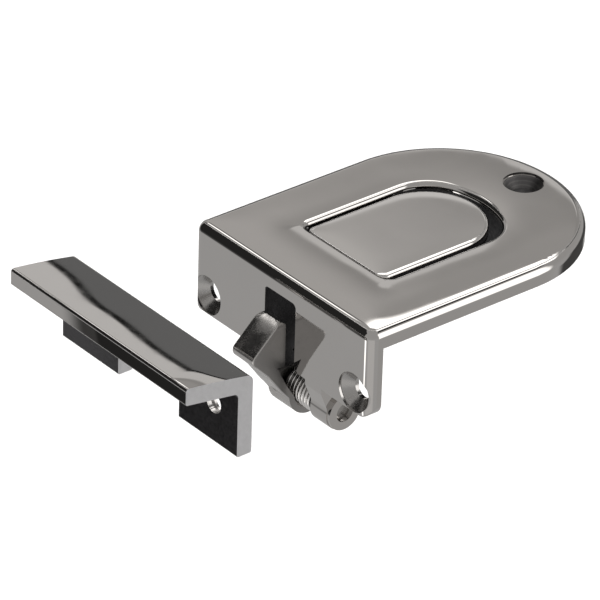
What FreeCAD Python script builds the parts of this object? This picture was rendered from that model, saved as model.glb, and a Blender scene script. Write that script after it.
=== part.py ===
import FreeCAD, Part
import math
import os

# Surface-mounted pushbutton latch for a small hatch or gate, with its keeper.
# Millimetres, +Z up.  The origin is the corner that the latch is set on: the
# plate's flat underside is Z = 0, the flange's inner face is Y = 0, and X = 0
# is the middle of its width.  The plate lies on top of the panel, the flange
# hangs down the panel's edge, and the hook stands out towards -Y.

# ---------------------------------------------------------------- dimensions
PLATE_W = 66.0            # width of plate and flange
PLATE_T = 5.0             # plate thickness
PLATE_END_Y = 80.4        # round end of the plate
FLANGE_T = 4.0            # flange thickness
FLANGE_Z = -18.6          # lower edge of the flange
CORNER_R = 3.0            # upright corners at the front
FLANGE_CORNER_R = 3.5     # lower corners of the flange
RIM_R = 2.5               # rounding of the plate's upper rim

SCREW_R = 2.65            # clearance hole for 5 mm countersunk screws
HEAD_R = 5.1              # mouth of the countersink
HEAD_STEP = 0.7           # short straight step at the mouth
REAR_SCREW_Y = 71.3
FLANGE_SCREW_X = 27.3
FLANGE_SCREW_Z = -13.2

WELL_W = 15.9             # half width of the opening round the button
WELL_FRONT_Y = 14.5
WELL_END_Y = 57.8
WELL_SHOULDER_R = 11.0
WELL_END_R = 24.0
WELL_CORNER_R = 3.2
WELL_RIM_R = 1.3
SKIRT_T = 2.2             # wall that hangs round the opening
SKIRT_Z = -8.5

BUTTON_W = 14.3           # half width of the button
BUTTON_FRONT_Y = 14.75
BUTTON_END_Y = 55.7
BUTTON_TOP = 4.9
BUTTON_T = 3.0
BUTTON_CORNER_R = 2.6
BUTTON_EDGE_R = 1.1
HINGE_Y = 17.5            # hinge line of the button
HINGE_Z = -1.0
HINGE_PIN_R = 1.5
FINGER_Y = 46.0           # rib under the button that works the tail
FINGER_R = 1.5
FINGER_TIP_Z = -3.0

PIVOT_Y = 2.7             # pivot line of the hook
PIVOT_Z = -26.4
PIVOT_R = 2.5
PIN_GAP = 0.05            # running clearance, radial

SLOT_W = 5.8              # half width of the slot in the flange
SLOT_FLARE_R = 3.0
EAR_R_IN = 10.0           # inner face of the right ear
EAR_R_OUT = 16.0
EAR_R_RAD = 4.9
BOSS_X = 17.0
BOSS_RAD = 4.7
EAR_L_IN = -10.5          # inner face of the left ear
EAR_L_OUT = -14.5
EAR_L_RAD = 3.6

HOOK_W = 4.0              # half width of the hook
CHEEK_X0 = -4.0           # the cheek that turns on the pin
CHEEK_X1 = -1.4
HOOK_HUB_R = 6.3
HOOK_WEB_IN = 4.75
PAD_TOP_GAP = 0.3         # between the button's rib and the hook's tail

WIRE_R = 0.5              # torsion spring
COIL_R = 3.8
LX0, LX1 = -9.9, -4.95    # left coil
RX0, RX1 = -0.45, 8.3     # right coil
HALVES_L, HALVES_R = 9, 15        # half turns
ARM_DEG = math.degrees(math.atan2(22.0, 36.8))    # slope of the tail's lower edge
N_DEG = ARM_DEG - 90.0    # angle at which the bail leaves the coils
BAIL = 10.5               # reach of the bail
BAIL_BEND = 1.1
END_BEND = 0.9

KEEP_W = 66.0             # keeper, an angle section
KEEP_LIP = 19.3
KEEP_LIP_T = 3.6          # the lip rises and thickens towards its free edge
KEEP_LIP_FRONT = (1.95, -2.45)     # top and underside at the free edge
KEEP_LIP_BACK = -1.25
KEEP_LEG_T = 4.2
KEEP_H = 21.9
KEEP_WINDOW_X = 11.5
KEEP_WINDOW_Z = -13.1
KEEP_SCREW_X = 24.2
KEEP_SCREW_Z = -11.5
KEEP_REST = (0.0, -38.6, 8.4)      # outer face and top of the keeper, at rest

V = FreeCAD.Vector
os.makedirs("parts", exist_ok=True)


# ------------------------------------------------------------------- helpers
def box(x0, x1, y0, y1, z0, z1):
    return Part.makeBox(x1 - x0, y1 - y0, z1 - z0, V(x0, y0, z0))


def cyl(r, p0, p1):
    p0, p1 = V(*p0), V(*p1)
    d = p1.sub(p0)
    return Part.makeCylinder(r, d.Length, p0, d)


def cone(r0, r1, p0, p1):
    p0, p1 = V(*p0), V(*p1)
    d = p1.sub(p0)
    return Part.makeCone(r0, r1, d.Length, p0, d)


def line(a, b):
    return Part.LineSegment(a, b).toShape()


def arc(a, m, b):
    return Part.Arc(a, m, b).toShape()


def prism(edges, vec):
    return Part.Face(Part.Wire(edges)).extrude(vec)


def rounded(points, plane, vec, axes="yz"):
    """Prism on a closed polygon; each point is (u, v, corner radius)."""
    n = len(points)
    pts = [(p[0], p[1]) for p in points]
    rad = [p[2] if len(p) > 2 else 0.0 for p in points]
    joins = []
    for i in range(n):
        a, p, b = pts[i - 1], pts[i], pts[(i + 1) % n]
        if rad[i] <= 0:
            joins.append((p, None, p))
            continue
        ua = (a[0] - p[0], a[1] - p[1])
        ub = (b[0] - p[0], b[1] - p[1])
        la, lb = math.hypot(*ua), math.hypot(*ub)
        ua = (ua[0] / la, ua[1] / la)
        ub = (ub[0] / lb, ub[1] / lb)
        c = max(-1.0, min(1.0, ua[0] * ub[0] + ua[1] * ub[1]))
        half = math.acos(c) / 2
        t = rad[i] / math.tan(half)
        s = (p[0] + ua[0] * t, p[1] + ua[1] * t)
        e = (p[0] + ub[0] * t, p[1] + ub[1] * t)
        bis = (ua[0] + ub[0], ua[1] + ub[1])
        lbis = math.hypot(*bis)
        d = rad[i] / math.sin(half)
        cen = (p[0] + bis[0] / lbis * d, p[1] + bis[1] / lbis * d)
        m = (cen[0] - bis[0] / lbis * rad[i], cen[1] - bis[1] / lbis * rad[i])
        joins.append((s, m, e))
    def to3(q):
        if axes == "xz":
            return V(q[0], plane, q[1])
        return V(plane, q[0], q[1])
    edges = []
    for i in range(n):
        s, m, e = joins[i]
        if m is not None:
            edges.append(arc(to3(s), to3(m), to3(e)))
        nxt = joins[(i + 1) % n][0]
        if math.hypot(nxt[0] - e[0], nxt[1] - e[1]) > 1e-6:
            edges.append(line(to3(e), to3(nxt)))
    return prism(edges, vec)


def yz_prism(points, x0, x1):
    """Profile in Y and Z, run along X."""
    return rounded(points, x0, V(x1 - x0, 0, 0))


def xz_prism(points, y0, y1):
    """Profile in X and Z, run along Y."""
    return rounded(points, y0, V(0, y1 - y0, 0), "xz")


def outline_d(w, y0, y_end, rc, z0, z1, shoulder=None, end_r=None):
    """D-shaped prism: straight front, round end, rounded front corners."""
    e = []
    h = V(0, 0, z1 - z0)
    def p(x, y):
        return V(x, y, z0)
    k = rc * (1 - math.sqrt(0.5))
    if shoulder is None:
        cy = y_end - w
        left, right = p(-w, cy), p(w, cy)
        end = [arc(right, p(0, y_end), left)]
    else:
        cx = w - shoulder
        y_c = y_end - end_r
        cy = y_c + math.sqrt((end_r - shoulder) ** 2 - cx ** 2)
        left, right = p(-w, cy), p(w, cy)
        ux, uy = cx / (end_r - shoulder), (cy - y_c) / (end_r - shoulder)
        tr = p(cx + ux * shoulder, cy + uy * shoulder)
        tl = p(-cx - ux * shoulder, cy + uy * shoulder)
        a0 = 0.0
        a1 = math.atan2(uy, ux)
        am = (a0 + a1) / 2
        mr = p(cx + shoulder * math.cos(am), cy + shoulder * math.sin(am))
        ml = p(-cx - shoulder * math.cos(am), cy + shoulder * math.sin(am))
        end = [arc(right, mr, tr), arc(tr, p(0, y_end), tl), arc(tl, ml, left)]
    e.append(line(p(-w + rc, y0), p(w - rc, y0)))
    e.append(arc(p(w - rc, y0), p(w - k, y0 + k), p(w, y0 + rc)))
    e.append(line(p(w, y0 + rc), right))
    e += end
    e.append(line(left, p(-w, y0 + rc)))
    e.append(arc(p(-w, y0 + rc), p(-w + k, y0 + k), p(-w + rc, y0)))
    return prism(e, h)


def edges_at_z(shape, z, inside=None):
    out = []
    for e in shape.Edges:
        b = e.BoundBox
        if abs(b.ZMin - z) < 1e-4 and abs(b.ZMax - z) < 1e-4:
            if inside is None or inside(b):
                out.append(e)
    return out


def one_solid(shape):
    if shape.ShapeType != "Solid":
        shape = max(shape.Solids, key=lambda q: q.Volume)
    return shape


def save(name, shape):
    shape = one_solid(shape)
    assert shape.isValid(), name + " is not valid"
    shape.exportStep("parts/" + name + ".step")
    b = shape.BoundBox
    print("%-16s %9.1f mm3  x %.2f..%.2f  y %.2f..%.2f  z %.2f..%.2f" % (
        name, shape.Volume, b.XMin, b.XMax, b.YMin, b.YMax, b.ZMin, b.ZMax))


def screw_hole(x, y, z, direction, depth):
    """Countersunk clearance hole; (x, y, z) is the mouth, direction goes in."""
    d = V(*direction)
    p = V(x, y, z)
    def at(t):
        q = p.add(V(d.x * t, d.y * t, d.z * t))
        return (q.x, q.y, q.z)
    deep = HEAD_STEP + (HEAD_R - 0.15 - SCREW_R)
    s = cyl(HEAD_R, at(-1.0), at(HEAD_STEP))
    s = s.fuse(cone(HEAD_R - 0.15, SCREW_R, at(HEAD_STEP), at(deep)))
    s = s.fuse(cyl(SCREW_R, at(-1.0), at(depth + 1.0)))
    return s


# ------------------------------------------------------------------- housing
# One casting: plate, flange, the two ears that hold the pivot pin, and the
# skirt round the button.
def footprint(z0, z1):
    w, r, yf = PLATE_W / 2, CORNER_R, -FLANGE_T
    k = r * (1 - math.sqrt(0.5))
    cy = PLATE_END_Y - w
    def p(x, y):
        return V(x, y, z0)
    e = [line(p(-w + r, yf), p(w - r, yf)),
         arc(p(w - r, yf), p(w - k, yf + k), p(w, yf + r)),
         line(p(w, yf + r), p(w, cy)),
         arc(p(w, cy), p(0, PLATE_END_Y), p(-w, cy)),
         line(p(-w, cy), p(-w, yf + r)),
         arc(p(-w, yf + r), p(-w + k, yf + k), p(-w + r, yf))]
    return prism(e, V(0, 0, z1 - z0))


hw = PLATE_W / 2
plate = footprint(0, PLATE_T)
flange = xz_prism([(-hw, PLATE_T), (-hw, FLANGE_Z, FLANGE_CORNER_R),
                   (hw, FLANGE_Z, FLANGE_CORNER_R), (hw, PLATE_T)], -FLANGE_T, 0)
flange = flange.common(footprint(FLANGE_Z - 1, PLATE_T))
shell = plate.fuse(flange).removeSplitter()
shell = one_solid(shell)
shell = shell.makeFillet(RIM_R, edges_at_z(shell, PLATE_T))

# lower edge and sides of the flange, eased on its face
low = []
for e in shell.Edges:
    b = e.BoundBox
    if abs(b.YMin + FLANGE_T) < 1e-3 and abs(b.YMax + FLANGE_T) < 1e-3 and b.ZMax < FLANGE_Z + FLANGE_CORNER_R + 0.01:
        low.append(e)
try:
    eased = shell.makeFillet(0.6, low)
    if eased.isValid():
        shell = one_solid(eased)
except Exception:
    print("flange edge left sharp")

# skirt round the opening
skirt = outline_d(WELL_W + SKIRT_T, WELL_FRONT_Y - SKIRT_T, WELL_END_Y + SKIRT_T,
                  WELL_CORNER_R + SKIRT_T, SKIRT_Z, 1.0,
                  WELL_SHOULDER_R + SKIRT_T, WELL_END_R + SKIRT_T)
shell = shell.fuse(skirt)
well = outline_d(WELL_W, WELL_FRONT_Y, WELL_END_Y, WELL_CORNER_R, SKIRT_Z - 1,
                 PLATE_T + 1, WELL_SHOULDER_R, WELL_END_R)
shell = one_solid(shell.cut(well).removeSplitter())

# rounded rim of the opening: full along the sides and the round end, and
# only eased along the straight front
rim = edges_at_z(shell, PLATE_T, lambda b: b.XMax < WELL_W + 0.1 and b.XMin > -WELL_W - 0.1
                 and b.YMin > WELL_FRONT_Y - 0.1 and b.YMax < WELL_END_Y + 0.1)


def graded_fillet(solid, edges, y_front, r_small, r_big):
    """Fillet that grows from r_small to r_big round the two front corners."""
    doc = FreeCAD.newDocument("rim")
    base = doc.addObject("Part::Feature", "base")
    base.Shape = solid
    fil = doc.addObject("Part::Fillet", "fil")
    fil.Base = base
    plan = []
    for i, e in enumerate(solid.Edges, 1):
        if not any(e.isSame(q) for q in edges):
            continue
        b = e.BoundBox
        if b.YMax < y_front + 0.01:
            plan.append((i, r_small, r_small))
        elif b.YMin < y_front + 0.01:
            first = e.valueAt(e.FirstParameter).y < e.valueAt(e.LastParameter).y
            plan.append((i, r_small, r_big) if first else (i, r_big, r_small))
        else:
            plan.append((i, r_big, r_big))
    fil.Edges = plan
    doc.recompute()
    out = fil.Shape.copy()
    ok = (not out.isNull()) and out.isValid() and out.Volume > 0 and len(out.Faces) > len(solid.Faces)
    FreeCAD.closeDocument("rim")
    if not ok:
        print("graded rim not made; one radius all round")
        out = solid.makeFillet((r_small + r_big) / 2, edges)
    return one_solid(out)


shell = graded_fillet(shell, rim, WELL_FRONT_Y, 0.4, WELL_RIM_R)

# ears: gussets from the plate's underside, behind the flange's face
def ear(x0, x1, rad):
    py, pz = PIVOT_Y, PIVOT_Z
    prof = [(-FLANGE_T, FLANGE_Z - 0.9, 1.5), (-FLANGE_T, -8.0), (py + rad, -8.0), (py + rad, pz), (py - rad, pz, 0.0)]
    if rad > 4.5:
        prof = [(-FLANGE_T, FLANGE_Z - 0.9, 2.0), (-FLANGE_T, -8.0), (py + rad, -8.0),
                (py + rad, pz), (py - rad, pz), (py - rad + 0.35, pz + 1.6, 3.0)]
    else:
        # the left ear runs back to the skirt as a side wall behind the slot
        y_back = WELL_FRONT_Y - SKIRT_T + 0.5
        prof = [(-FLANGE_T, FLANGE_Z - 0.9, 1.5), (-FLANGE_T, -8.0), (y_back, -8.0), (y_back, pz - 1.0, 4.0),
                (py + 4.0, pz - rad, 2.0), (py, pz - rad), (py - rad, pz, 0.0)]
    s = yz_prism(prof, x0, x1).fuse(cyl(rad, (x0, py, pz), (x1, py, pz)))
    return s.fuse(box(x0, x1, -1.0, py + rad if rad > 4.5 else y_back, -9.0, 1.0))


shell = shell.fuse([ear(EAR_R_IN, EAR_R_OUT, EAR_R_RAD), ear(EAR_L_OUT, EAR_L_IN, EAR_L_RAD),
                    cyl(BOSS_RAD, (EAR_R_OUT - 1, PIVOT_Y, PIVOT_Z), (BOSS_X, PIVOT_Y, PIVOT_Z))])

# slot for the hook, flared at its lower end
f = SLOT_FLARE_R
slot = xz_prism([(-SLOT_W, 0.0, 1.3), (-SLOT_W, FLANGE_Z + f), (-SLOT_W - f, FLANGE_Z), (-SLOT_W - f, FLANGE_Z - 4),
                 (SLOT_W + f, FLANGE_Z - 4), (SLOT_W + f, FLANGE_Z), (SLOT_W, FLANGE_Z + f), (SLOT_W, 0.0, 1.3)],
                -FLANGE_T - 1, 0.0)
for sx in (-1, 1):
    # the flare is round: give back the quarter of metal outside its curve
    cx = sx * (SLOT_W + f)
    slot = slot.cut(cyl(f, (cx, -FLANGE_T - 2, FLANGE_Z + f), (cx, 1, FLANGE_Z + f)))
    wedge = xz_prism([(min(cx, sx * SLOT_W), FLANGE_Z + f), (max(cx, sx * SLOT_W), FLANGE_Z + f),
                      (sx * SLOT_W if sx * SLOT_W > cx else cx, FLANGE_Z),
                      (cx if sx * SLOT_W > cx else sx * SLOT_W, FLANGE_Z)], -FLANGE_T - 1, 0.0)
    slot = slot.fuse(wedge.cut(cyl(f, (cx, -FLANGE_T - 2, FLANGE_Z + f), (cx, 1, FLANGE_Z + f))))
shell = shell.cut(slot)

# screw holes, pin holes
shell = shell.cut(screw_hole(0, REAR_SCREW_Y, PLATE_T, (0, 0, -1), PLATE_T))
for sx in (-1, 1):
    shell = shell.cut(screw_hole(sx * FLANGE_SCREW_X, -FLANGE_T, FLANGE_SCREW_Z, (0, 1, 0), FLANGE_T))
shell = shell.cut(cyl(PIVOT_R + 0.01, (EAR_L_OUT - 1, PIVOT_Y, PIVOT_Z), (BOSS_X + 1, PIVOT_Y, PIVOT_Z)))
shell = shell.cut(cyl(HINGE_PIN_R + 0.01, (-WELL_W - SKIRT_T - 1, HINGE_Y, HINGE_Z), (WELL_W + SKIRT_T + 1, HINGE_Y, HINGE_Z)))
# small holes in the ears' inner faces that take the spring's ends
along = V(0, math.cos(math.radians(ARM_DEG)), math.sin(math.radians(ARM_DEG)))
coil_top = (PIVOT_Y - COIL_R * math.cos(math.radians(N_DEG)) + along.y * END_BEND,
            PIVOT_Z - COIL_R * math.sin(math.radians(N_DEG)) + along.z * END_BEND)
shell = shell.cut(cyl(WIRE_R + 0.15, (EAR_R_IN - 1, coil_top[0], coil_top[1]), (EAR_R_IN + 1.6, coil_top[0], coil_top[1])))
shell = shell.cut(cyl(WIRE_R + 0.15, (EAR_L_IN + 1, coil_top[0], coil_top[1]), (EAR_L_IN - 1.6, coil_top[0], coil_top[1])))
housing = one_solid(shell.removeSplitter())
save("housing", housing)

# -------------------------------------------------------------------- button
bz0 = BUTTON_TOP - BUTTON_T
button = outline_d(BUTTON_W, BUTTON_FRONT_Y, BUTTON_END_Y, BUTTON_CORNER_R, bz0, BUTTON_TOP)
top_edges = edges_at_z(button, BUTTON_TOP)
button = graded_fillet(button, top_edges, BUTTON_FRONT_Y, 0.4, BUTTON_EDGE_R)
for sx in (-1, 1):
    x0, x1 = sorted((sx * 10.2, sx * 13.2))
    lug = cyl(2.8, (x0, HINGE_Y, HINGE_Z), (x1, HINGE_Y, HINGE_Z)).fuse(
        box(x0, x1, HINGE_Y - 2.6, HINGE_Y + 2.6, HINGE_Z, bz0 + 0.5))
    button = button.fuse(lug)
rib = box(-1.25, 1.25, HINGE_Y + 2.0, FINGER_Y, -0.4, bz0 + 0.5)
finger = box(-3.0, 3.0, FINGER_Y - FINGER_R, FINGER_Y + FINGER_R, FINGER_TIP_Z + FINGER_R, bz0 + 0.5)
finger = finger.fuse(cyl(FINGER_R, (-3.0, FINGER_Y, FINGER_TIP_Z + FINGER_R), (3.0, FINGER_Y, FINGER_TIP_Z + FINGER_R)))
button = button.fuse([rib, finger])
button = button.cut(cyl(HINGE_PIN_R + PIN_GAP, (-20, HINGE_Y, HINGE_Z), (20, HINGE_Y, HINGE_Z)))
save("push_button", button.removeSplitter())

hinge_len = WELL_W + SKIRT_T - 0.2
pin = cyl(HINGE_PIN_R, (-hinge_len, HINGE_Y, HINGE_Z), (hinge_len, HINGE_Y, HINGE_Z))
pin = one_solid(pin).makeChamfer(0.3, [e for e in pin.Edges if e.Curve.TypeId == "Part::GeomCircle"])
save("button_pin", pin)

# ---------------------------------------------------------------------- hook
def polar(r, deg):
    a = math.radians(deg)
    return (PIVOT_Y + r * math.cos(a), PIVOT_Z + r * math.sin(a))


def yz(q, x):
    return V(x, q[0], q[1])


def web_profile(x, head_only=False):
    """Head and the curved web that runs down in front of the spring."""
    tip = (-7.0, -4.6)
    nose0 = (-14.55, -11.75)
    nose1 = (-14.95, -13.0)
    nose2 = (-14.0, -14.6)
    under1 = (-10.3, -18.4)
    under2 = (-6.3, -23.9)
    out180 = polar(HOOK_HUB_R, 186)
    out250 = polar(HOOK_HUB_R, 240)
    out300 = polar(HOOK_HUB_R, 292)
    in300 = polar(HOOK_WEB_IN, 292)
    in250 = polar(HOOK_WEB_IN, 240)
    in180 = polar(HOOK_WEB_IN, 186)
    in1 = (-4.3, -23.3)
    in2 = (-7.6, -17.0)
    back1 = (-5.25, -17.2)
    back0 = (-5.35, -5.6)
    e = [line(yz(back0, x), yz(tip, x)),
         line(yz(tip, x), yz(nose0, x)),
         arc(yz(nose0, x), yz(nose1, x), yz(nose2, x)),
         line(yz(nose2, x), yz(under1, x)),
         line(yz(under1, x), yz(under2, x)),
         line(yz(under2, x), yz(out180, x)),
         arc(yz(out180, x), yz(out250, x), yz(out300, x)),
         line(yz(out300, x), yz(in300, x)),
         arc(yz(in300, x), yz(in250, x), yz(in180, x)),
         line(yz(in180, x), yz(in1, x)),
         line(yz(in1, x), yz(in2, x)),
         line(yz(in2, x), yz(back1, x)),
         line(yz(back1, x), yz(back0, x))]
    return Part.Face(Part.Wire(e))


web = web_profile(-HOOK_W).extrude(V(2 * HOOK_W, 0, 0))
# the head's upper corners are rounded, seen from the front
for sx, r in ((-1, 2.2), (1, 1.7)):
    cx, cz = sx * (HOOK_W - r), -4.6 - r
    corner = box(min(cx, cx + sx * 5), max(cx, cx + sx * 5), -20, 5, cz, cz + 5)
    web = web.cut(corner.cut(cyl(r, (cx, -21, cz), (cx, 6, cz))))
# ease the side edges of the head's sloping faces
sel = []
for e in web.Edges:
    b = e.BoundBox
    if b.XLength < 1e-4 and b.YMin > -15.3 and b.YMax < -5.3 and b.ZMax > -18.6 and b.YLength > 0.2 and b.ZLength > 0.2:
        sel.append(e)
web = one_solid(web.makeFillet(0.4, sel))

tail_top = FINGER_TIP_Z - PAD_TOP_GAP
disc = cyl(HOOK_HUB_R, (CHEEK_X0, PIVOT_Y, PIVOT_Z), (CHEEK_X1, PIVOT_Y, PIVOT_Z))
cheek = yz_prism([(-5.3, -6.5), (-8.5, -20.5), (-3.4, -27.5), (3.0, -20.2), (-1.5, -12.5, 3.0)], CHEEK_X0, CHEEK_X1)
arm = yz_prism([(2.4, -20.15), (0.2, -26.4), (3.5, -29.6), (6.9, -27.6, 1.0), (43.0, -6.05, 1.0), (49.0, -5.9),
                (49.0, tail_top), (40.5, tail_top, 1.0)], CHEEK_X0, CHEEK_X1)
pad = yz_prism([(41.0, tail_top), (49.0, tail_top, 0.6), (49.0, tail_top - 2.6, 1.0), (41.0, tail_top - 2.6, 0.6)], CHEEK_X0, HOOK_W)
hook = web.fuse([disc, cheek, arm, pad])
hook = hook.cut(cyl(PIVOT_R + PIN_GAP, (-20, PIVOT_Y, PIVOT_Z), (20, PIVOT_Y, PIVOT_Z)))
save("hook", hook.removeSplitter())

pin = cyl(PIVOT_R, (EAR_L_OUT + 0.3, PIVOT_Y, PIVOT_Z), (BOSS_X - 1.6, PIVOT_Y, PIVOT_Z))
pin = one_solid(pin).makeChamfer(0.35, [e for e in pin.Edges if e.Curve.TypeId == "Part::GeomCircle"])
save("pivot_pin", pin)

# -------------------------------------------------------------------- spring
# Double torsion spring, one wire: two coils on the pin, joined by a bail that
# lifts the hook's tail; each outer end is bent into a small hole in an ear.
# A coil is a chain of half turns, each one a flat arc that leans a little, so
# that one runs into the next without a kink.
def on_coil(x, deg):
    a = math.radians(deg)
    return V(x, PIVOT_Y + COIL_R * math.cos(a), PIVOT_Z + COIL_R * math.sin(a))


def rod(a, b):
    return cyl(WIRE_R, (a.x, a.y, a.z), (b.x, b.y, b.z))


def arc_rod(start, centre, axis, deg):
    """Round wire bent from start about an axis through centre."""
    r = start.sub(centre)
    disc = Part.Face(Part.Wire([Part.makeCircle(WIRE_R, start, axis.cross(r))]))
    return disc.revolve(centre, axis, deg)


def coil(x0, x1, deg0, halves, way):
    """Half turns from angle deg0; way is 1 for angles that grow, -1 for the other."""
    out = []
    for i in range(halves):
        xa, xb = x0 + (x1 - x0) * i / halves, x0 + (x1 - x0) * (i + 1) / halves
        a = on_coil(xa, deg0 + way * 180.0 * i)
        b = on_coil(xb, deg0 + way * 180.0 * (i + 1))
        tangent = on_coil(0, deg0 + way * (180.0 * i + 90.0)).sub(on_coil(0, deg0 + way * (180.0 * i - 90.0)))
        centre = (a + b) * 0.5
        axis = a.sub(centre).cross(tangent)
        axis.normalize()
        out.append(arc_rod(a, centre, axis, 180.0))
    return out


X1 = V(1, 0, 0)
side = along * 1.0
spring_parts = coil(LX0, LX1, N_DEG + 180.0, HALVES_L, 1) + coil(RX0, RX1, N_DEG, HALVES_R, -1)
la, lb = on_coil(LX0, N_DEG + 180.0), on_coil(LX1, N_DEG)
ra, rb = on_coil(RX0, N_DEG), on_coil(RX1, N_DEG + 180.0)
# ends: a quarter bend from the coil out along X, into the ear
for p, sx, x_end in ((la, -1, EAR_L_IN - 1.4), (rb, 1, EAR_R_IN + 1.4)):
    centre = p + X1 * (sx * END_BEND)
    axis = p.sub(centre).cross(side)
    axis.normalize()
    spring_parts.append(arc_rod(p, centre, axis, 90.0))
    q = centre + side * END_BEND
    spring_parts.append(rod(q, V(x_end, q.y, q.z)))
# bail: two sides and a cross bar with rounded corners
for p, sx in ((lb, 1), (ra, -1)):
    q = p + side * (BAIL - BAIL_BEND)
    spring_parts.append(rod(p, q))
    centre = q + X1 * (sx * BAIL_BEND)
    axis = q.sub(centre).cross(side)
    axis.normalize()
    spring_parts.append(arc_rod(q, centre, axis, 90.0))
spring_parts.append(rod(lb + side * BAIL + X1 * BAIL_BEND, ra + side * BAIL - X1 * BAIL_BEND))
spring = spring_parts[0].fuse(spring_parts[1:])
print("spring", len(spring.Solids), "solids", len(spring.Faces), "faces")
save("torsion_spring", spring)

# -------------------------------------------------------------------- keeper
# Angle section: the leg goes down the frame's edge, the lip laps over its face
# and rises a little, and the hook takes hold under the window's upper edge.
kw = KEEP_W / 2
lip_mid = (KEEP_LIP_FRONT[0] + KEEP_LIP_BACK) / 2 + 0.38
keep = yz_prism([(0, KEEP_LIP_BACK, 2.0), (0, -KEEP_H, 0.5), (-KEEP_LEG_T, -KEEP_H, 0.5),
                 (-KEEP_LEG_T, KEEP_LIP_BACK - KEEP_LIP_T, 1.4), (-KEEP_LIP, KEEP_LIP_FRONT[1], 0.6),
                 (-KEEP_LIP, KEEP_LIP_FRONT[0], 0.8), (-KEEP_LIP / 2, lip_mid, 190.0)], -kw, kw)
window = box(-KEEP_WINDOW_X, KEEP_WINDOW_X, -KEEP_LEG_T - 1, 1, -KEEP_H - 1, KEEP_WINDOW_Z)
corner = [e for e in window.Edges if abs(e.BoundBox.ZMin - KEEP_WINDOW_Z) < 1e-4 and e.BoundBox.YLength > 1]
window = window.makeFillet(1.2, corner)
keep = keep.cut(window)
for sx in (-1, 1):
    keep = keep.cut(screw_hole(sx * KEEP_SCREW_X, 0, KEEP_SCREW_Z, (0, -1, 0), KEEP_LEG_T))
keep = one_solid(keep)
keep.translate(V(*KEEP_REST))
save("keeper", keep)
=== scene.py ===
import bpy
import math
from mathutils import Matrix, Vector

# Looks of a polished pushbutton latch and its keeper: materials, studio, camera.
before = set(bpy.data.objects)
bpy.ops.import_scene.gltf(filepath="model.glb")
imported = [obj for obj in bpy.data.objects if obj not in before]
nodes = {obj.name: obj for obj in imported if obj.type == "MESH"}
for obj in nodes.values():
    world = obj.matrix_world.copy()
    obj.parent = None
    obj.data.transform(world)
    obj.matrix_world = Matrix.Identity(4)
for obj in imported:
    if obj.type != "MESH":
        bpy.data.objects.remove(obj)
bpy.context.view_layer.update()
scene = bpy.context.scene


# ------------------------------------------------------------------- camera
cam_data = bpy.data.cameras.new("camera")
cam = bpy.data.objects.new("camera", cam_data)
scene.collection.objects.link(cam)
right = Vector((0.626645, 0.778890, 0.025422))
up = Vector((-0.413646, 0.304792, 0.857904))
back = Vector((0.660464, -0.548117, 0.513181))
pos = Vector((0.796953, -0.664691, 0.617483))
cam.matrix_world = Matrix(((right.x, up.x, back.x, pos.x), (right.y, up.y, back.y, pos.y),
                           (right.z, up.z, back.z, pos.z), (0, 0, 0, 1)))
cam_data.sensor_width = 36.0
cam_data.lens = 308.809
cam_data.shift_x = 0.02926
cam_data.shift_y = 0.00076
cam_data.clip_start = 0.05
cam_data.clip_end = 50.0
scene.camera = cam
scene.view_settings.view_transform = "Standard"
scene.view_settings.look = "None"


# ------------------------------------------------------------- node helpers
class Tree:
    """Short calls that add nodes and join them."""
    def __init__(self, tree):
        self.t = tree
        self.t.nodes.clear()

    def add(self, kind, **props):
        n = self.t.nodes.new(kind)
        for k, v in props.items():
            setattr(n, k, v)
        return n

    def put(self, socket, value):
        if isinstance(value, bpy.types.NodeSocket):
            self.t.links.new(value, socket)
        else:
            socket.default_value = value

    def math(self, op, a, b=None, c=None, clamp=False):
        n = self.add("ShaderNodeMath", operation=op, use_clamp=clamp)
        for i, v in enumerate((a, b, c)):
            if v is not None:
                self.put(n.inputs[i], v)
        return n.outputs[0]

    def vmath(self, op, a, b=None, out=0):
        n = self.add("ShaderNodeVectorMath", operation=op)
        for i, v in enumerate((a, b)):
            if v is not None:
                self.put(n.inputs[i], v)
        return n.outputs[out]

    def dot(self, a, b):
        return self.vmath("DOT_PRODUCT", a, b, "Value")

    def smooth(self, x, lo, hi, a=0.0, b=1.0):
        """Smooth step from a to b as x goes from lo to hi."""
        n = self.add("ShaderNodeMapRange", interpolation_type="SMOOTHSTEP")
        self.put(n.inputs["Value"], x)
        for k, v in (("From Min", lo), ("From Max", hi), ("To Min", a), ("To Max", b)):
            self.put(n.inputs[k], v)
        return n.outputs["Result"]

    def mix(self, f, a, b, kind="RGBA"):
        n = self.add("ShaderNodeMix", data_type=kind)
        i = {"FLOAT": (2, 3, 0), "RGBA": (6, 7, 2)}[kind]
        self.put(n.inputs[0], f)
        self.put(n.inputs[i[0]], a)
        self.put(n.inputs[i[1]], b)
        return n.outputs[i[2]]

    def noise(self, vec, scale, detail=2.0, rough=0.5):
        n = self.add("ShaderNodeTexNoise")
        self.put(n.inputs["Vector"], vec)
        self.put(n.inputs["Scale"], scale)
        self.put(n.inputs["Detail"], detail)
        self.put(n.inputs["Roughness"], rough)
        return n.outputs["Fac"]


def direction(az, el):
    a, e = math.radians(az), math.radians(el)
    return Vector((math.cos(a) * math.cos(e), math.sin(a) * math.cos(e), math.sin(e)))


# -------------------------------------------------------------------- world
# A studio at a distance: grey all round, with white panels and black flags.
# Angles are in degrees: azimuth from +X towards +Y, elevation above the floor.
world = bpy.data.worlds.new("studio")
scene.world = world
world.use_nodes = True
w = Tree(world.node_tree)
gen = w.add("ShaderNodeTexCoord").outputs["Generated"]
ray = w.vmath("NORMALIZE", gen)


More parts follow.
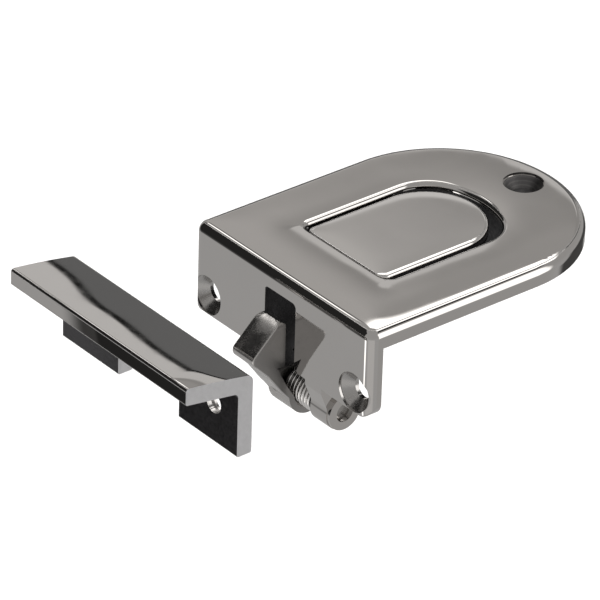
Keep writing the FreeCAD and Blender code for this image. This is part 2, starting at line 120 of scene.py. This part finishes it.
def panel(az, el, half_w, half_h, soft, level, tone, turn=0.0):
    """Blends level in over a soft-edged rectangle; sizes in degrees."""
    c = direction(az, el)
    u = Vector((-math.sin(math.radians(az)), math.cos(math.radians(az)), 0))
    v = c.cross(u)
    if turn:
        q = Matrix.Rotation(math.radians(turn), 3, c)
        u, v = q @ u, q @ v
    front = w.dot(ray, tuple(c))
    safe = w.math("MAXIMUM", front, 0.001)
    a = w.math("ABSOLUTE", w.math("DIVIDE", w.dot(ray, tuple(u)), safe))
    b = w.math("ABSOLUTE", w.math("DIVIDE", w.dot(ray, tuple(v)), safe))
    tw, th = math.tan(math.radians(half_w)), math.tan(math.radians(half_h))
    s = math.tan(math.radians(soft))
    m = w.math("MULTIPLY", w.smooth(a, tw - s, tw + s, 1.0, 0.0), w.smooth(b, th - s, th + s, 1.0, 0.0))
    m = w.math("MULTIPLY", m, w.smooth(front, 0.0, 0.05))
    return w.mix(m, level, tone if isinstance(tone, bpy.types.NodeSocket) else (tone[0], tone[1], tone[2], 1.0))


def grey(x, warm=0.02):
    return (x * (1 + warm), x, x * (1 - warm))


z = w.dot(ray, (0.0, 0.0, 1.0))
level = w.mix(w.smooth(z, -0.25, 0.30), grey(0.46, 0.01) + (1.0,), grey(0.42, 0.02) + (1.0,))
# backdrop at the left back: light above, a dark foot under it
side = w.dot(ray, (-0.639, -0.769, 0.0))
rise = w.math("MULTIPLY", w.smooth(side, -0.046, 0.014, 0.385, 0.50),
              w.smooth(z, math.sin(math.radians(28.6)), math.sin(math.radians(31.4)), 0.92, 1.06))
wall = w.add("ShaderNodeCombineXYZ")
for i, k in enumerate((1.03, 1.0, 0.97)):
    w.put(wall.inputs[i], w.math("MULTIPLY", rise, k))
#                    az   el  half_w half_h soft level
level = panel(140, 30, 30, 14, 3, level, wall.outputs[0])
level = panel(140, 22.5, 16, 4.5, 0.8, level, grey(0.68))
level = panel(140, 1, 20, 17, 0.8, level, grey(0.165, 0.0))
level = panel(136, 17.8, 16, 0.65, 0.35, level, grey(0.012))
level = panel(159, 43.5, 9, 3.5, 2.5, level, grey(0.14))         # dim patch by the white strip
level = panel(108, 56, 24, 12.5, 2.0, level, grey(2.3))             # white panel, high at the back
level = panel(56, 47, 9, 3.5, 1.5, level, grey(0.02))            # thin flag
level = panel(36, 12, 13, 24, 4, level, grey(1.9))               # white panel, right back
level = panel(95, -22, 22, 18, 5, level, grey(0.07))             # dark, low at the back
level = panel(40, -34, 16, 16, 5, level, grey(0.43))
level = panel(217, 8, 33, 26, 7, level, grey(0.06))              # black flag, left front
level = panel(213, 22, 33, 28, 1.6, level, grey(0.024))
level = panel(171, 48, 4.5, 3.5, 1.6, level, grey(2.2))              # white strip over it
level = panel(-100, -31, 5.5, 18, 3.5, level, grey(2.2))             # white panel, right front
level = panel(-45, -31, 26, 18, 6, level, grey(0.60))
bg = w.add("ShaderNodeBackground")
w.put(bg.inputs["Color"], level)
bg.inputs["Strength"].default_value = 1.0
w.put(w.add("ShaderNodeOutputWorld").inputs["Surface"], bg.outputs[0])


# ---------------------------------------------------------------- materials
def inside(t, pos, lo, hi, soft=0.0002):
    """1 within a box given in millimetres, else 0."""
    sep = t.add("ShaderNodeSeparateXYZ")
    t.put(sep.inputs[0], pos)
    m = None
    for i in range(3):
        for edge, sign in ((lo[i], 1), (hi[i], -1)):
            if edge is None:
                continue
            e = edge / 1000.0
            k = t.smooth(sep.outputs[i], e - soft, e + soft, *((0.0, 1.0) if sign > 0 else (1.0, 0.0)))
            m = k if m is None else t.math("MULTIPLY", m, k)
    return m


def facing(t, nor, axis, at=0.75, soft=0.1):
    return t.smooth(t.dot(nor, axis), at - soft, at + soft)


def either(t, *masks):
    m = masks[0]
    for k in masks[1:]:
        m = t.math("MAXIMUM", m, k)
    return m


def round_hole(t, pos, centre, axis, r):
    """1 nearer than r to a hole's axis (millimetres)."""
    d = t.vmath("SUBTRACT", pos, tuple(c / 1000.0 for c in centre))
    keep = tuple(0.0 if i == axis else 1.0 for i in range(3))
    return t.smooth(t.vmath("LENGTH", t.vmath("MULTIPLY", d, keep), None, "Value"), r / 1000.0 - 0.0001, r / 1000.0 + 0.0001, 1.0, 0.0)


def rings(t, pos, centre):
    """Faint turning lines round an upright hole."""
    d = t.vmath("SUBTRACT", pos, tuple(c / 1000.0 for c in centre))
    r = t.vmath("LENGTH", t.vmath("MULTIPLY", d, (1.0, 1.0, 0.0)), None, "Value")
    return t.smooth(t.math("SINE", t.math("MULTIPLY", r, 2 * math.pi / 0.00075)), 0.0, 1.0, 0.87, 0.80)


def outline_distance(t, pos, half, y_centre, outside=False):
    """Distance (m) in from a D-shaped outline's sides and round end."""
    sep = t.add("ShaderNodeSeparateXYZ")
    t.put(sep.inputs[0], pos)
    x, y = sep.outputs[0], sep.outputs[1]
    yy = t.math("MAXIMUM", t.math("SUBTRACT", y, y_centre / 1000.0), 0.0)
    r = t.math("SQRT", t.math("ADD", t.math("MULTIPLY", x, x), t.math("MULTIPLY", yy, yy)))
    return t.math("SUBTRACT", r, half / 1000.0) if outside else t.math("SUBTRACT", half / 1000.0, r), y


def falling(t, d, slope, length):
    """Height of a surface that starts to fall slope (rad) at d = 0, over length (m)."""
    e = t.math("EXPONENT", t.math("DIVIDE", t.math("MULTIPLY", d, -1.0), length))
    return t.math("MULTIPLY", e, -slope * length)


def total(t, *terms):
    h = terms[0]
    for k in terms[1:]:
        h = t.math("ADD", h, k)
    return h


def steel(name, finish_and_shade=None, shape=None, tone=(0.60, 0.585, 0.57), rough=0.045, wave=0.00012, mottle=0.0, dark=1.0):
    """Mirror-polished casting. finish(tree, pos, normal) gives the masks of the surfaces left
    unpolished from the casting, left satin, and turned; shape gives extra height. The first mask also paints shade:
    its near-black colour darkens hollows, undersides and shaded sides."""
    m = bpy.data.materials.new(name)
    m.use_nodes = True
    t = Tree(m.node_tree)
    tc = t.add("ShaderNodeTexCoord")
    pos, nor = tc.outputs["Object"], tc.outputs["Normal"]
    b = t.add("ShaderNodeBsdfPrincipled")
    b.inputs["Metallic"].default_value = 1.0
    cloud = t.noise(pos, 55.0, 3.0)
    grain = t.noise(pos, 1100.0, 3.0, 0.6)
    colour = t.mix(cloud, tuple(0.97 * x for x in tone) + (1.0,), tuple(1.03 * x for x in tone) + (1.0,))
    shine = t.smooth(t.noise(pos, 240.0, 4.0), 0.3, 0.75, rough * 0.7, rough * 1.5)
    if mottle:
        blot = t.smooth(t.noise(pos, 1900.0, 3.0, 0.6), 0.30, 0.70)
        shine = t.math("ADD", shine, t.math("MULTIPLY", blot, mottle))
    height = t.math("MULTIPLY", t.noise(pos, 36.0, 1.5), wave)
    if shape:
        height = t.math("ADD", height, shape(t, pos, nor))
    if finish_and_shade:
        cast_and_shade, plain, turned = finish_and_shade(t, pos, nor)
        if plain is not None:
            colour = t.mix(plain, colour, t.mix(grain, (0.74, 0.74, 0.755, 1.0), (0.85, 0.85, 0.865, 1.0)))
            shine = t.mix(plain, shine, t.smooth(grain, 0.3, 0.7, 0.30, 0.42), "FLOAT")
        if turned is not None:
            colour = t.mix(turned, colour, t.mix(grain, (0.47, 0.46, 0.45, 1.0), (0.56, 0.55, 0.54, 1.0)))
            shine = t.mix(turned, shine, t.smooth(grain, 0.3, 0.7, 0.20, 0.30), "FLOAT")
        # Painted shade: the unpolished surfaces get a near-black colour that stands for the shade in hollows,
        # undersides and shaded sides; their roughness and grain bump are the casting's own.
        if cast_and_shade is not None:
            cast_shade_colour = t.mix(grain, (0.040 * dark, 0.040 * dark, 0.043 * dark, 1.0), (0.080 * dark, 0.078 * dark, 0.080 * dark, 1.0))
            colour = t.mix(cast_and_shade, colour, cast_shade_colour)
            shine = t.mix(cast_and_shade, shine, t.smooth(grain, 0.3, 0.7, 0.42, 0.6), "FLOAT")
            height = t.math("ADD", height, t.math("MULTIPLY", t.math("MULTIPLY", grain, 0.00008), cast_and_shade))
    bump = t.add("ShaderNodeBump")
    bump.inputs["Strength"].default_value = 1.0
    bump.inputs["Distance"].default_value = 1.0
    t.put(bump.inputs["Height"], height)
    t.put(b.inputs["Base Color"], colour)
    t.put(b.inputs["Roughness"], shine)
    t.put(b.inputs["Normal"], bump.outputs[0])
    t.put(t.add("ShaderNodeOutputMaterial").inputs["Surface"], b.outputs[0])
    return m


def housing_finish_and_shade(t, pos, nor):
    # Painted shade: the works behind the flange, the plate's underside, the flange's back, the button well and the
    # top countersink go into the first mask and are coloured near black; the countersink's rings are turning lines.
    # The flange holes are turned.
    works = inside(t, pos, (-14.9, -3.8, -33.0), (10.06, 13.4, -0.2), 0.00003)
    under = t.math("MULTIPLY", facing(t, nor, (0, 0, -1)), inside(t, pos, (None, 0.2, -9.0), (None, None, 1.0)))
    back = t.math("MULTIPLY", facing(t, nor, (0, 1, 0)), inside(t, pos, (None, -1.0, None), (None, 8.0, 1.0)))
    well = inside(t, pos, (-18.3, 12.1, None), (18.3, 60.2, 3.3))
    holes = either(t, *[round_hole(t, pos, (x, 0, -13.2), 1, 5.12) for x in (-27.3, 27.3)])
    holes = t.math("MULTIPLY", holes, inside(t, pos, (None, -4.5, -18.5), (None, 1.0, -8.0)))
    cone = t.math("MULTIPLY", round_hole(t, pos, (0, 71.3, 0), 2, 4.95), facing(t, nor, (0, 0, 1), 0.9, 0.05))
    cone = t.math("MULTIPLY", t.math("SUBTRACT", round_hole(t, pos, (0, 71.3, 0), 2, 4.95), cone), rings(t, pos, (0, 71.3, 0)))
    return either(t, works, under, back, well, cone), None, holes


def housing_shape(t, pos, nor):
    up = facing(t, nor, (0, 0, 1), 0.9, 0.02)
    d, y = outline_distance(t, pos, 33.0, 47.4)
    r, y2 = outline_distance(t, pos, 15.9, 41.9, True)
    dy = t.math("MAXIMUM", t.math("SUBTRACT", 0.0145, y), 0.0)
    r = t.math("MAXIMUM", r, 0.0)
    r = t.math("SQRT", t.math("ADD", t.math("MULTIPLY", r, r), t.math("MULTIPLY", dy, dy)))
    sep = t.add("ShaderNodeSeparateXYZ")
    t.put(sep.inputs[0], pos)
    rim = t.math("MULTIPLY", falling(t, d, 1.0, 0.0032), t.smooth(sep.outputs[0], -0.020, 0.030, 0.05, 0.27))
    front = t.math("MULTIPLY", falling(t, t.math("ADD", y, 0.004), 1.0, 0.0042), t.smooth(sep.outputs[0], -0.010, 0.028, 0.09, 0.17))
    h = total(t, rim, front, falling(t, r, 0.09, 0.004))
    return t.math("MULTIPLY", h, up)


def button_finish_and_shade(t, pos, nor):
    # Painted shade: the button's sides below z = 2.6 mm, down in the well, are coloured near black.
    return inside(t, pos, (None, None, None), (None, None, 2.6)), None, None


def button_shape(t, pos, nor):
    up = facing(t, nor, (0, 0, 1), 0.9, 0.02)
    d, y = outline_distance(t, pos, 14.3, 41.4)
    return t.math("MULTIPLY", total(t, falling(t, d, 0.07, 0.003), falling(t, t.math("SUBTRACT", y, 0.01475), 0.05, 0.003)), up)


def hook_finish_and_shade(t, pos, nor):
    # Painted shade: the hook's side faces are taken 45% towards near black, and the part behind the flange (y above
    # -4.2 mm, z above -22 mm) is coloured near black.
    side = t.math("MULTIPLY", t.smooth(t.math("ABSOLUTE", t.dot(nor, (1.0, 0.0, 0.0))), 0.8, 0.95), 0.45)
    deep_shade = inside(t, pos, (None, -4.2, -22.0), (None, None, None), 0.0008)
    return either(t, side, deep_shade), None, None


def hook_shape(t, pos, nor):
    sep = t.add("ShaderNodeSeparateXYZ")
    t.put(sep.inputs[0], pos)
    ramp = facing(t, nor, (0.0, -0.688, 0.726), 0.93, 0.02)
    top = falling(t, t.math("SUBTRACT", -0.0046, sep.outputs[2]), 0.75, 0.0026)
    left = falling(t, t.math("ADD", sep.outputs[0], 0.004), 0.25, 0.0008)
    return t.math("MULTIPLY", t.math("ADD", top, left), ramp)


def keeper_finish_and_shade(t, pos, nor):
    # Painted shade: the leg's front face, the lip's underside and the inner corner are coloured near black; the satin
    # ends and the turned holes are finishes.
    leg = t.math("MULTIPLY", facing(t, nor, (0, -1, 0)), inside(t, pos, (None, -46.0, None), (None, -40.0, 5.5)))
    lip = t.math("MULTIPLY", facing(t, nor, (0, 0, -1)), inside(t, pos, (None, -57.2, -1.0), (None, -40.0, 8.0)))
    inner = t.math("MULTIPLY", inside(t, pos, (-32.95, -44.6, 0.0), (32.95, -42.5, 5.6)), facing(t, nor, (0, -0.7, -0.7), 0.6))
    hole = either(t, *[round_hole(t, pos, (x, 0, -3.1), 1, 5.12) for x in (-24.2, 24.2)])
    ends = t.smooth(t.math("ABSOLUTE", t.dot(nor, (1.0, 0.0, 0.0))), 0.8, 0.9)
    turned = t.math("MULTIPLY", hole, t.smooth(t.math("ABSOLUTE", t.dot(nor, (0.0, 1.0, 0.0))), 0.85, 0.95, 1.0, 0.0))
    cast_and_shade = t.math("MULTIPLY", either(t, leg, lip, inner), t.math("SUBTRACT", 1.0, turned))
    return cast_and_shade, t.math("MULTIPLY", ends, t.math("SUBTRACT", 1.0, turned)), turned


def keeper_shape(t, pos, nor):
    sep = t.add("ShaderNodeSeparateXYZ")
    t.put(sep.inputs[0], pos)
    x, y, zz = sep.outputs
    up = facing(t, nor, (0, 0, 1), 0.9, 0.02)
    drift = t.math("SUBTRACT", t.noise(t.vmath("MULTIPLY", pos, (1.0, 0.0, 0.0)), 26.0, 1.0, 0.5), 0.5)
    ends = t.smooth(x, 0.026, 0.035, 0.0, 0.085)
    sag = t.math("ADD", t.smooth(x, -0.033, -0.006, 0.008, -0.027), t.smooth(x, -0.004, 0.021, 0.0, -0.012))
    tilt = total(t, t.math("MULTIPLY", drift, 0.04), ends, sag)
    across = t.math("ADD", y, 0.049)
    crown = t.math("MULTIPLY", t.math("MULTIPLY", across, across), -1.8)
    top = t.math("MULTIPLY", t.math("ADD", t.math("MULTIPLY", across, tilt), crown), up)
    front = facing(t, nor, (0, -1, 0), 0.97, 0.02)
    lean = t.smooth(x, -0.026, 0.020, 0.03, 0.50)
    edge = t.math("MULTIPLY", t.math("MULTIPLY", t.math("MULTIPLY", zz, lean), -1.0), front)
    return t.math("ADD", top, edge)


def satin(name, tone, rough, scale):
    """Turned or drawn metal: fine lines round the part."""
    m = bpy.data.materials.new(name)
    m.use_nodes = True
    t = Tree(m.node_tree)
    pos = t.add("ShaderNodeTexCoord").outputs["Object"]
    b = t.add("ShaderNodeBsdfPrincipled")
    b.inputs["Metallic"].default_value = 1.0
    stretch = t.vmath("MULTIPLY", pos, scale)
    n = t.noise(stretch, 1.0, 3.0, 0.6)
    t.put(b.inputs["Base Color"], t.mix(n, tuple(0.9 * x for x in tone) + (1.0,), tuple(min(1, 1.08 * x) for x in tone) + (1.0,)))
    t.put(b.inputs["Roughness"], t.smooth(n, 0.25, 0.75, rough * 0.75, rough * 1.3))
    bump = t.add("ShaderNodeBump")
    bump.inputs["Strength"].default_value = 1.0
    bump.inputs["Distance"].default_value = 1.0
    t.put(bump.inputs["Height"], t.math("MULTIPLY", n, 0.000006))
    t.put(b.inputs["Normal"], bump.outputs[0])
    t.put(t.add("ShaderNodeOutputMaterial").inputs["Surface"], b.outputs[0])
    return m


MATERIALS = {
    "housing": steel("housing_steel", housing_finish_and_shade, housing_shape),
    "push_button": steel("button_steel", button_finish_and_shade, button_shape, (0.70, 0.685, 0.67)),
    "hook": steel("hook_steel", hook_finish_and_shade, hook_shape, rough=0.19, mottle=0.07, wave=0.00005),
    "keeper": steel("keeper_steel", keeper_finish_and_shade, keeper_shape, wave=0.00005, dark=2.0),
    "button_pin": satin("pin_steel", (0.58, 0.57, 0.56), 0.22, (2500.0, 300.0, 300.0)),
    "pivot_pin": satin("pivot_steel", (0.42, 0.41, 0.40), 0.24, (2500.0, 300.0, 300.0)),
    "torsion_spring": satin("spring_steel", (0.90, 0.885, 0.87), 0.20, (300.0, 900.0, 900.0)),
}


# ---------------------------------------------------- surfaces of CAD nodes
def shading_group():
    """Joins the CAD faces' edges and keeps only real edges sharp."""
    g = bpy.data.node_groups.new("join_and_smooth", "GeometryNodeTree")
    g.interface.new_socket("Geometry", in_out="INPUT", socket_type="NodeSocketGeometry")
    g.interface.new_socket("Geometry", in_out="OUTPUT", socket_type="NodeSocketGeometry")
    n, l = g.nodes, g.links
    gi, go = n.new("NodeGroupInput"), n.new("NodeGroupOutput")
    weld = n.new("GeometryNodeMergeByDistance")
    weld.inputs["Distance"].default_value = 2e-6
    drop = n.new("GeometryNodeRemoveAttribute")
    drop.inputs["Name"].default_value = "custom_normal"
    faces = n.new("GeometryNodeSetShadeSmooth")
    faces.domain = "FACE"
    faces.inputs["Shade Smooth"].default_value = True
    edges = n.new("GeometryNodeSetShadeSmooth")
    edges.domain = "EDGE"
    edges.inputs["Shade Smooth"].default_value = False
    angle = n.new("GeometryNodeInputMeshEdgeAngle")
    big = n.new("FunctionNodeCompare")
    big.data_type = "FLOAT"
    big.operation = "GREATER_THAN"
    big.inputs[1].default_value = math.radians(28)
    l.new(gi.outputs[0], weld.inputs["Geometry"])
    l.new(weld.outputs[0], drop.inputs["Geometry"])
    l.new(drop.outputs[0], faces.inputs["Geometry"])
    l.new(faces.outputs[0], edges.inputs["Geometry"])
    l.new(angle.outputs["Unsigned Angle"], big.inputs[0])
    l.new(big.outputs[0], edges.inputs["Selection"])
    l.new(edges.outputs[0], go.inputs[0])
    return g


group = shading_group()
for name, o in nodes.items():
    o.data.materials.clear()
    o.data.materials.append(MATERIALS[name])
    mod = o.modifiers.new("join", "NODES")
    mod.node_group = group
    wn = o.modifiers.new("weighted", "WEIGHTED_NORMAL")
    wn.mode = "FACE_AREA"
    wn.keep_sharp = True
    wn.weight = 50


# -------------------------------------------------------------------- stage
floor_mesh = bpy.data.meshes.new("floor")
s = 6.0
floor_mesh.from_pydata([(-s, -s, -0.15), (s, -s, -0.15), (s, s, -0.15), (-s, s, -0.15)], [], [(0, 1, 2, 3)])
floor = bpy.data.objects.new("floor", floor_mesh)
scene.collection.objects.link(floor)
fm = bpy.data.materials.new("floor_white")
fm.use_nodes = True
ft = Tree(fm.node_tree)
fb = ft.add("ShaderNodeBsdfPrincipled")
fb.inputs["Roughness"].default_value = 0.9
fb.inputs["Specular IOR Level"].default_value = 0.1
ft.put(fb.inputs["Base Color"], ft.mix(ft.noise(ft.add("ShaderNodeTexCoord").outputs["Object"], 1.5), (0.86, 0.86, 0.86, 1), (0.9, 0.9, 0.9, 1)))
ft.put(ft.add("ShaderNodeOutputMaterial").inputs["Surface"], fb.outputs[0])
floor_mesh.materials.append(fm)
floor.visible_glossy = False

lamp_data = bpy.data.lights.new("overhead", "AREA")
lamp_data.shape = "SQUARE"
lamp_data.size = 2.5
lamp_data.energy = 60.0
lamp = bpy.data.objects.new("overhead", lamp_data)
lamp.location = (0.0, 0.0, 2.2)
lamp.visible_glossy = False
lamp.visible_camera = False
scene.collection.objects.link(lamp)
